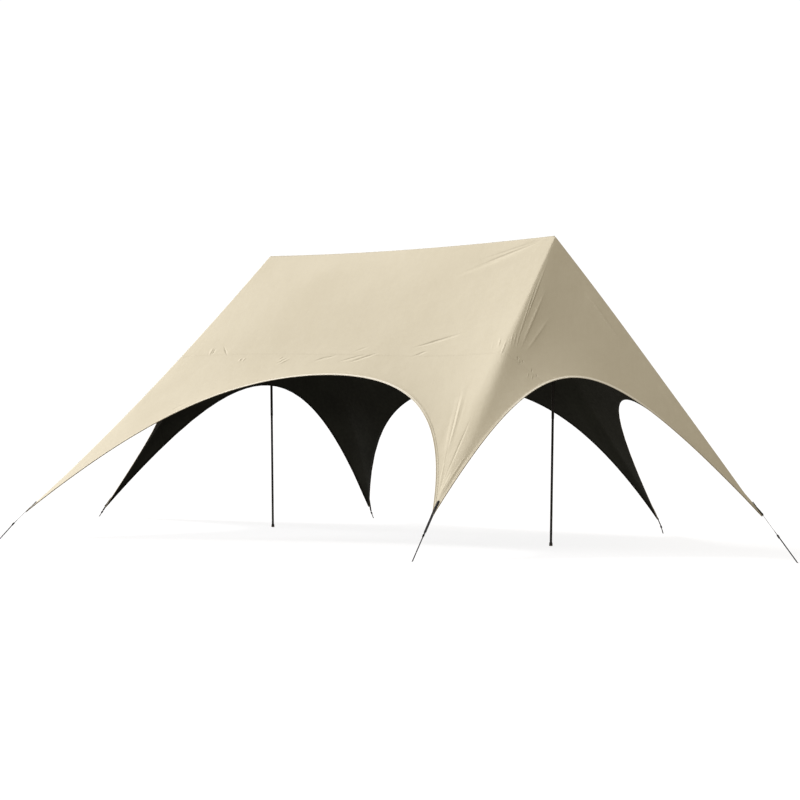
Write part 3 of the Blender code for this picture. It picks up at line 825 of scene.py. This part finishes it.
class Look:
    """A material's node tree, with short ways to add to it."""

    def __init__(self, name):
        self.material = bpy.data.materials.new(name)
        self.material.use_nodes = True
        self.tree = self.material.node_tree
        self.shader = self.tree.nodes["Principled BSDF"]

    def node(self, kind, inputs=None, **settings):
        made = self.tree.nodes.new("ShaderNode" + kind)
        for key, value in settings.items():
            setattr(made, key, value)
        for key, value in (inputs or {}).items():
            self.give(made.inputs[key], value)
        return made

    def give(self, socket, value):
        if isinstance(value, bpy.types.NodeSocket):
            self.tree.links.new(value, socket)
        else:
            socket.default_value = value

    def math(self, operation, first, second=0.0, third=0.0, clamp=False):
        inputs = {0: first, 1: second, 2: third}
        return self.node("Math", inputs, operation=operation, use_clamp=clamp).outputs[0]

    def times(self, first, second, clamp=False):
        return self.math("MULTIPLY", first, second, clamp=clamp)

    def add(self, base, value, share):
        """A base value and a share of another."""
        return self.math("MULTIPLY_ADD", value, share, base)

    def place(self):
        return self.node("TexCoord").outputs["Object"]

    def height(self, place):
        return self.node("SeparateXYZ", {0: place}).outputs["Z"]

    def map(self, name):
        """A map's vector, and the two directions in it."""
        vector = self.node("UVMap", uv_map=name).outputs[0]
        first, second, _ = self.node("SeparateXYZ", {0: vector}).outputs
        return vector, first, second

    def stretched(self, vector, *scale):
        return self.node("Mapping", {"Vector": vector, "Scale": scale}).outputs[0]

    def noise(self, vector, scale, detail=3.0, roughness=0.6):
        inputs = {"Vector": vector, "Scale": scale, "Detail": detail, "Roughness": roughness}
        return self.node("TexNoise", inputs).outputs["Fac"]

    def mix(self, factor, first, second):
        """A mix node takes colours at sockets 6 and 7 and gives one at 2."""
        made = self.node("Mix", {"Factor": factor}, data_type="RGBA")
        for number, value in ((6, first), (7, second)):
            self.give(made.inputs[number], (*value, 1.0) if isinstance(value, tuple) else value)
        return made.outputs[2]

    def band(self, value, low, high):
        """1 where a value is below low, easing to 0 at high."""
        inputs = {"Value": value, "From Min": low, "From Max": high, "To Min": 1.0, "To Max": 0.0}
        return self.node("MapRange", inputs, interpolation_type="SMOOTHSTEP").outputs[0]

    def row(self, value, at, half, fade):
        """1 in a thin row where a value is at a place."""
        return self.band(self.math("ABSOLUTE", self.math("SUBTRACT", value, at)), half, fade)

    def dashes(self, value, length, gap):
        """0 in the gaps of a row and 1 in its stitches."""
        return self.math("GREATER_THAN", self.math("FRACT", self.math("DIVIDE", value, length)), gap)

    def waves(self, value, length):
        return self.math("SINE", self.times(value, 2.0 * np.pi / length))

    def weave(self, first, second, first_length, second_length):
        """Threads that cross over and under each other."""
        return self.times(self.waves(first, first_length), self.waves(second, second_length))

    def bump(self, height, distance, strength=1.0, after=None):
        inputs = {"Height": height, "Distance": distance, "Strength": strength}
        if after is not None:
            inputs["Normal"] = after
        return self.node("Bump", inputs).outputs[0]

    def set(self, values):
        for socket, value in values.items():
            self.give(self.shader.inputs[socket], value)
        return self.material

    def finish(self, colour, roughness, normal, sheen=0.0, gloss=0.5, metallic=0.0):
        return self.set({"Base Color": colour, "Roughness": roughness, "Normal": normal, "Metallic": metallic,
                         "Sheen Weight": sheen, "Specular IOR Level": gloss})


def fine_folds(look, cloth, grids):
    """The height in millimetres of all the fine folds."""
    total = 0.0
    for (face, _), folds in FINE_FOLDS.items():
        for x0, y0, x1, y1, half_width, millimetres in folds:
            run = np.hypot(x1 - x0, y1 - y0)
            x, y = (x0 + x1) / 2.0, (y0 + y1) / 2.0
            aside_x, aside_y = half_width * (y1 - y0) / run, half_width * (x1 - x0) / run
            pixels = ((x0, y0), (x1, y1), (x, y), (x - aside_x, y + aside_y), (x + aside_x, y - aside_y))
            start, end, middle, one_side, other_side = (cloth_place(face, grids[face], *at) for at in pixels)
            along = unit(end - start)
            aside = (one_side - other_side) / 2.0
            half = abs(along[0] * aside[1] - along[1] * aside[0])
            middle = middle + MAP_STEP * FACE_NAMES.index(face)
            inputs = {"Vector": cloth, "Location": (*middle, 0.0),
                      "Rotation": (0.0, 0.0, np.arctan2(along[1], along[0])),
                      "Scale": (norm(end - start) / 2.0, half, 1.0)}
            local = look.node("Mapping", inputs, vector_type="TEXTURE").outputs[0]
            cone = look.node("TexGradient", {"Vector": local}, gradient_type="SPHERICAL")
            inputs = {"Value": cone.outputs["Fac"], "To Max": millimetres}
            rise = look.node("MapRange", inputs, interpolation_type="SMOOTHSTEP").outputs[0]
            total = look.math("ADD", rise, total)
    return total


def cloth_look(name, light, dark, thread_and_shade, roughness, sheen, gloss, grids=None):
    """Coated cloth with seam, stitches and weave, and with fine folds where grids are given."""
    look = Look(name)
    cloth, u, v = look.map("Cloth")
    place = look.place()
    seam, edge, crease = (look.node("Attribute", attribute_name=gap).outputs["Fac"]
                          for gap in ("seam_gap", "edge_gap", "crease_gap"))
    # Variation of the dye and the coating
    broad = look.noise(place, scale=0.9, roughness=0.55)
    fine = look.noise(place, scale=26.0, detail=4.0)
    streaks = look.noise(look.stretched(cloth, 90.0, 2.5, 1.0), scale=1.0, detail=2.0, roughness=0.5)
    mottle = look.add(look.add(broad, streaks, share=0.25), fine, share=0.35)
    colour = look.mix(look.band(mottle, low=0.55, high=1.05), dark, light)
    # The seam is a doubled strip with two rows of stitches. The creases and the hem have one.
    off_seam = look.math("ABSOLUTE", seam)
    strip = look.band(off_seam, low=0.006, high=0.0075)
    sewn = look.row(off_seam, at=0.0042, half=0.0005, fade=0.0011)
    sewn = look.math("MAXIMUM", sewn, look.row(crease, at=0.006, half=0.0005, fade=0.0012))
    sewn = look.math("MAXIMUM", sewn, look.row(edge, at=0.034, half=0.0006, fade=0.0014))
    stitches = look.times(look.dashes(look.math("ADD", u, v), length=0.0065, gap=0.32), sewn)
    # Just outside the doubled strip a thin line is painted darker, as shade at its edge
    beside = look.math("SUBTRACT", look.band(off_seam, low=0.0070, high=0.0100), strip)
    shade = look.times(beside, 0.12, clamp=True)
    tint = look.math("MAXIMUM", shade, look.times(stitches, 0.30))
    colour = look.mix(tint, colour, thread_and_shade)
    # Heights, coarse ones first: crumple, folds, doubled cloth with its stitches, weave
    soft = look.noise(place, scale=3.2, roughness=0.5)
    creased = look.noise(place, scale=14.0, detail=5.0, roughness=0.62)
    normal = look.bump(look.add(soft, creased, share=0.28), distance=0.006)
    if grids is not None:
        pulled = look.noise(look.stretched(cloth, 38.0, 7.0, 1.0), scale=1.0, detail=2.0, roughness=0.5)
        gathers = look.times(pulled, look.band(off_seam, low=0.004, high=0.060))
        patchy = look.band(look.noise(place, scale=2.3, detail=1.0, roughness=0.5), low=0.40, high=0.56)
        gathers = look.times(gathers, patchy)
        folds = look.add(fine_folds(look, cloth, grids), gathers, share=1.6)
        normal = look.bump(folds, MILLIMETRE, after=normal)
    doubled = look.math("MAXIMUM", strip, look.band(edge, low=0.036, high=0.0375))
    doubled = look.math("SUBTRACT", doubled, look.times(stitches, 0.5))
    normal = look.bump(doubled, distance=0.0005, after=normal)
    normal = look.bump(look.weave(u, v, 0.0032, 0.0032), distance=0.00007, strength=0.6, after=normal)
    rough = look.add(roughness - 0.09, fine, share=0.18)
    return look.finish(colour, rough, normal, sheen, gloss)


def tape_look(name, light, bead, bead_shade, worn_colour, gloss):
    """Ribbed tape with a row of stitches. High up, a painted highlight makes its bead and the strip beside it
    paler.
    """
    look = Look(name)
    _, along, round_it = look.map("Run")
    place = look.place()
    sewn = look.row(round_it, at=0.0045, half=0.0005, fade=0.0012)
    stitches = look.times(sewn, look.dashes(along, length=0.0060, gap=0.34))
    worn = look.noise(place, scale=7.0, detail=4.0)
    colour = look.mix(look.band(worn, low=0.40, high=0.75), worn_colour, light)
    # High up the bead and the strip beside it are painted with a highlight; low down the bead is painted with
    # shade
    low_down = look.band(look.height(place), low=1.0, high=1.5)
    strip = look.mix(low_down, bead, colour)
    colour = look.mix(look.band(round_it, low=0.006, high=0.008), strip, colour)
    top = look.mix(low_down, bead, bead_shade)
    colour = look.mix(look.band(round_it, low=0.0195, high=0.0215), top, colour)
    colour = look.mix(look.times(stitches, 0.4), colour, worn_colour)
    normal = look.bump(look.waves(along, length=0.0022), distance=0.00010, strength=0.5)
    normal = look.bump(stitches, distance=0.0005, strength=0.8, after=normal)
    return look.finish(colour, look.add(0.62, worn, share=0.2), normal, sheen=0.05, gloss=gloss)


def webbing_look():
    look = Look("strap_webbing_weave")
    _, along, beside = look.map("Run")
    sewn = look.row(beside, at=0.0105, half=0.0003, fade=0.0009)
    sewn = look.times(sewn, look.band(along, low=0.095, high=0.097))
    stitches = look.times(sewn, look.dashes(along, length=0.0055, gap=0.35))
    dust = look.noise(look.place(), scale=60.0, detail=4.0, roughness=0.65)
    colour = look.mix(look.band(dust, low=0.35, high=0.8), WEBBING_DUSTY, WEBBING_COLOUR)
    colour = look.mix(stitches, colour, WEBBING_THREAD)
    normal = look.bump(look.weave(along, beside, 0.0034, 0.0028), distance=0.0003, strength=0.7)
    normal = look.bump(stitches, distance=0.0006, strength=0.8, after=normal)
    return look.finish(colour, look.add(0.55, dust, share=0.25), normal, sheen=0.02, gloss=0.2)


def rope_look():
    look = Look("laid_rope_fibres")
    place = look.place()
    fibres = look.noise(place, scale=900.0)
    dust = look.noise(place, scale=35.0)
    colour = look.mix(look.times(fibres, dust), ROPE_COLOUR, ROPE_DUSTY)
    normal = look.bump(fibres, distance=0.0003, strength=0.7)
    return look.finish(colour, look.add(0.68, dust, share=0.2), normal, sheen=0.02, gloss=0.2)


def paint_look(name, colour_low, highlight_colour):
    """Powder coat with a fine orange peel, paler patches of painted highlight, scuffs along the tube, and
    dust towards the ground.
    """
    look = Look(name)
    place = look.place()
    peel = look.noise(place, scale=700.0, detail=2.0, roughness=0.5)
    scratched = look.noise(look.stretched(place, 260.0, 260.0, 5.0), scale=1.0)
    scuffs = look.math("GREATER_THAN", scratched, 0.66)
    patches = look.noise(place, scale=18.0, detail=4.0)
    dusty = look.times(look.band(look.height(place), low=0.03, high=0.55), patches)
    # Paler patches of painted highlight
    colour = look.mix(patches, colour_low, highlight_colour)
    colour = look.mix(look.times(scuffs, 0.25), colour, SCUFF_COLOUR)
    colour = look.mix(look.times(dusty, 0.20), colour, POLE_DUST)
    normal = look.bump(peel, distance=0.0002, strength=0.35)
    rough = look.math("ADD", look.add(0.30, patches, share=0.16), look.times(dusty, 0.3))
    return look.finish(colour, rough, normal, gloss=0.25, metallic=0.15)


def rubber_look():
    look = Look("pole_foot_rubber")
    place = look.place()
    grain = look.noise(place, scale=420.0)
    patches = look.noise(place, scale=40.0, detail=4.0)
    height = look.height(place)
    dusty = look.times(look.band(height, low=0.0, high=0.03), patches)
    colour = look.mix(dusty, RUBBER_COLOUR, FOOT_DUST)
    ribbed = look.add(grain, look.waves(height, length=0.006), share=0.5)
    normal = look.bump(ribbed, distance=0.0004, strength=0.6)
    return look.finish(colour, look.add(0.68, patches, share=0.2), normal)


def dress_poles():
    # The upper tube is painted lighter than the lower one, as a painted reflection
    upper = paint_look("pole_upper_paint", POLE_COLOUR, POLE_HIGHLIGHT)
    lower = paint_look("pole_lower_paint", LOWER_POLE_COLOUR, LOWER_POLE_HIGHLIGHT)
    rubber = rubber_look()
    for side in ("left", "right"):
        for part, look in (("upper_tube", upper), ("lower_tube", lower), ("foot", rubber), ("cap", rubber)):
            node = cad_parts[f"pole_{side}_{part}"]
            node.data.materials.clear()
            node.data.materials.append(look)


def stage_look(name, colour, glow):
    """A surface part matt and part glowing, so that shadows on it stay faint."""
    return Look(name).set({"Base Color": (*colour, 1.0), "Roughness": 0.9, "Specular IOR Level": 0.0,
                           "Emission Color": (1.0, 1.0, 1.0, 1.0), "Emission Strength": glow})


def soft_light(name, strength, wide_degrees, colour, toward):
    sun = bpy.data.lights.new(name, "SUN")
    sun.energy = strength
    sun.angle = np.radians(wide_degrees)
    sun.color = colour
    light = put_in_scene(name, sun)
    light.rotation_mode = "QUATERNION"
    light.rotation_quaternion = Vector(toward).to_track_quat("Z", "Y")


def studio_ring(angle):
    """A level circle of the backdrop, at an angle up from the floor."""
    turn = np.linspace(0.0, 2.0 * np.pi, STUDIO_SIDES, endpoint=False)
    radius = STUDIO_RADIUS * np.cos(angle)
    height = np.full_like(turn, STUDIO_RADIUS * np.sin(angle) - FLOOR_DROP)
    return np.stack([radius * np.cos(turn), radius * np.sin(turn), height], axis=-1)


def camera_only(surface):
    """The stage takes a faint shadow and lights nothing, because the fill is even all round."""
    surface.visible_diffuse = False
    surface.visible_glossy = False
    surface.visible_shadow = False


def studio():
    """A pale floor and a white backdrop that only the camera sees, two broad lights and a fill."""
    floor = make_object("floor", studio_ring(0.0), [list(range(STUDIO_SIDES))],
                        [stage_look("floor_white", colour=(0.20, 0.20, 0.20), glow=0.86)])
    camera_only(floor)
    rows = [studio_ring(angle) for angle in np.linspace(0.0, 0.5 * np.pi, DOME_ROWS)]
    polygons = tube_polygons(DOME_ROWS, STUDIO_SIDES, closed_ends=False)
    dome = make_object("backdrop", np.concatenate(rows), polygons,
                       [stage_look("backdrop_white", colour=(0.0, 0.0, 0.0), glow=1.05)])
    camera_only(dome)
    soft_light("key", strength=3.05, wide_degrees=20.0, colour=(1.0, 0.985, 1.05),
               toward=(-0.895, -0.290, 0.325))
    soft_light("upper_light", strength=1.40, wide_degrees=10.0, colour=(1.0, 0.98, 0.98),
               toward=(-0.58, -0.27, 0.77))
    world = bpy.data.worlds.new("studio")
    world.use_nodes = True
    background = world.node_tree.nodes["Background"]
    background.inputs["Color"].default_value = (1.0, 0.905, 0.795, 1.0)
    background.inputs["Strength"].default_value = 0.475
    bpy.context.scene.world = world
    bpy.context.scene.view_settings.view_transform = "Standard"


def photo_camera():
    lens = bpy.data.cameras.new("photo_camera")
    lens.sensor_width = SENSOR_WIDTH / MILLIMETRE
    lens.lens = FOCAL_LENGTH / MILLIMETRE
    lens.clip_end = 400.0
    camera = put_in_scene("photo_camera", lens)
    camera.location = CAMERA_AT
    camera.rotation_euler = (np.radians(90.0 + PITCH_DEGREES), 0.0, -np.radians(YAW_DEGREES))
    bpy.context.scene.camera = camera


roof_grids = canopy_grids()
outer_cloth = cloth_look("coated_canvas", CLOTH_LIGHT, CLOTH_DARK, SEAM_THREAD_AND_SHADE, roughness=0.80, sheen=0.05,
                         gloss=0.20, grids=roof_grids)
inner_cloth = cloth_look("blackout_lining", INNER_COLOUR, INNER_DARK, INNER_DARK, roughness=0.70, sheen=0.0,
                         gloss=0.06)
tape = tape_look("bound_edge_tape", CLOTH_LIGHT, BEAD_HIGHLIGHT, BEAD_SHADE, CLOTH_DARK, gloss=0.20)
inner_tape = tape_look("black_inner_tape", INNER_COLOUR, INNER_DARK, INNER_DARK, INNER_DARK, gloss=0.06)
webbing = webbing_look()
rope_fibre = rope_look()
roof = canopy(roof_grids, outer_cloth, inner_cloth)
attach(roof, "root")
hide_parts(*[f"panel_{face}_{part}" for face in FACE_NAMES for part in ("upper", "lower")])
for name in FACE_NAMES:
    bound = binding(name, roof_grids[name], tape, inner_tape)
    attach(bound, "root")
    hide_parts(f"hem_{name}")
for name in ANCHORS:
    web = strap(name, webbing)
    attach(web, "root")
    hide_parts(f"strap_{name}")
    line = rope(name, rope_fibre)
    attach(line, "root")
    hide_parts(f"rope_{name}")
dress_poles()
studio()
photo_camera()
